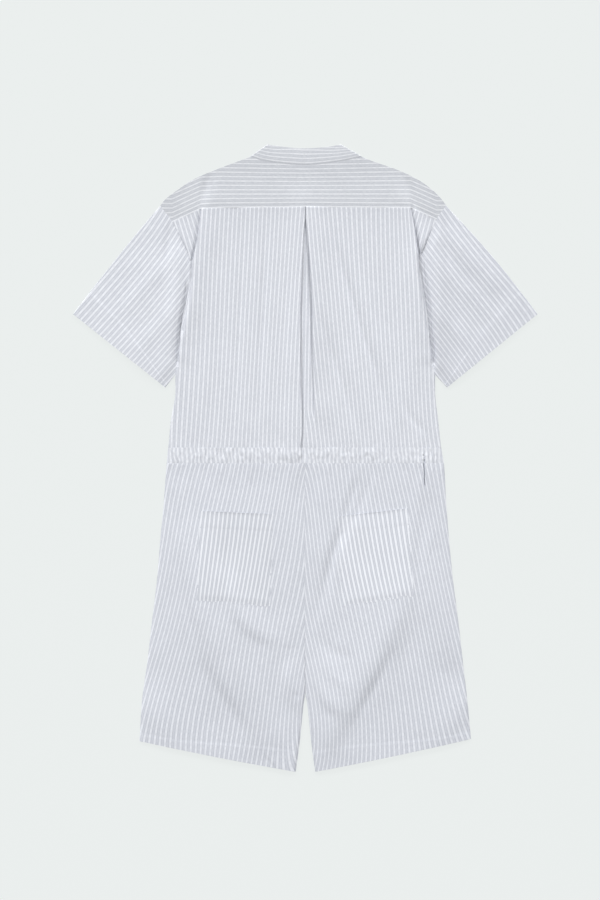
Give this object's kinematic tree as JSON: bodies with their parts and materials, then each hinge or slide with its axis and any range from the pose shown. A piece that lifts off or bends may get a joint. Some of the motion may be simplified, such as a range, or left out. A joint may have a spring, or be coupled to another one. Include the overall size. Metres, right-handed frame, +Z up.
{
  "type": "short jumpsuit",
  "caption": "Short-sleeved jumpsuit with short legs in striped cotton, laid flat on its front: band collar, back yoke, inverted back pleat, gathered waist casing and patch pockets.",
  "frame": {"origin": "centre of the bottom of the bounding box: the middle of the garment, on the surface that it lies on", "axes": "+X towards the garment's right side as it lies with its back up, +Y from the hems to the collar, +Z up from the surface, out of the back"},
  "size_m": [0.766, 1.0357, 0.0071],
  "materials": {
    "striped_cotton_shell": "soft woven cotton with fine white and grey-blue stripes",
    "striped_cotton_band": "the same cotton, doubled and stitched",
    "gathered_casing": "the same cotton, gathered over elastic",
    "pocket_cotton": "the same cotton, edges turned and stitched"
  },
  "bodies": {
    "root": {"yoke_back": "striped_cotton_shell", "bodice_back": "striped_cotton_shell", "collar_band": "striped_cotton_band", "sleeve_left": "striped_cotton_shell", "sleeve_right": "striped_cotton_shell", "waistband_back": "gathered_casing", "leg_back_left": "striped_cotton_shell", "leg_back_right": "striped_cotton_shell", "pocket_left": "pocket_cotton", "pocket_right": "pocket_cotton", "bodice_front_left": "striped_cotton_shell", "bodice_front_right": "striped_cotton_shell", "front_placket": "striped_cotton_shell", "waistband_front_left": "gathered_casing", "waistband_front_right": "gathered_casing", "leg_front_left": "striped_cotton_shell", "leg_front_right": "striped_cotton_shell"}
  },
  "joints": []
}
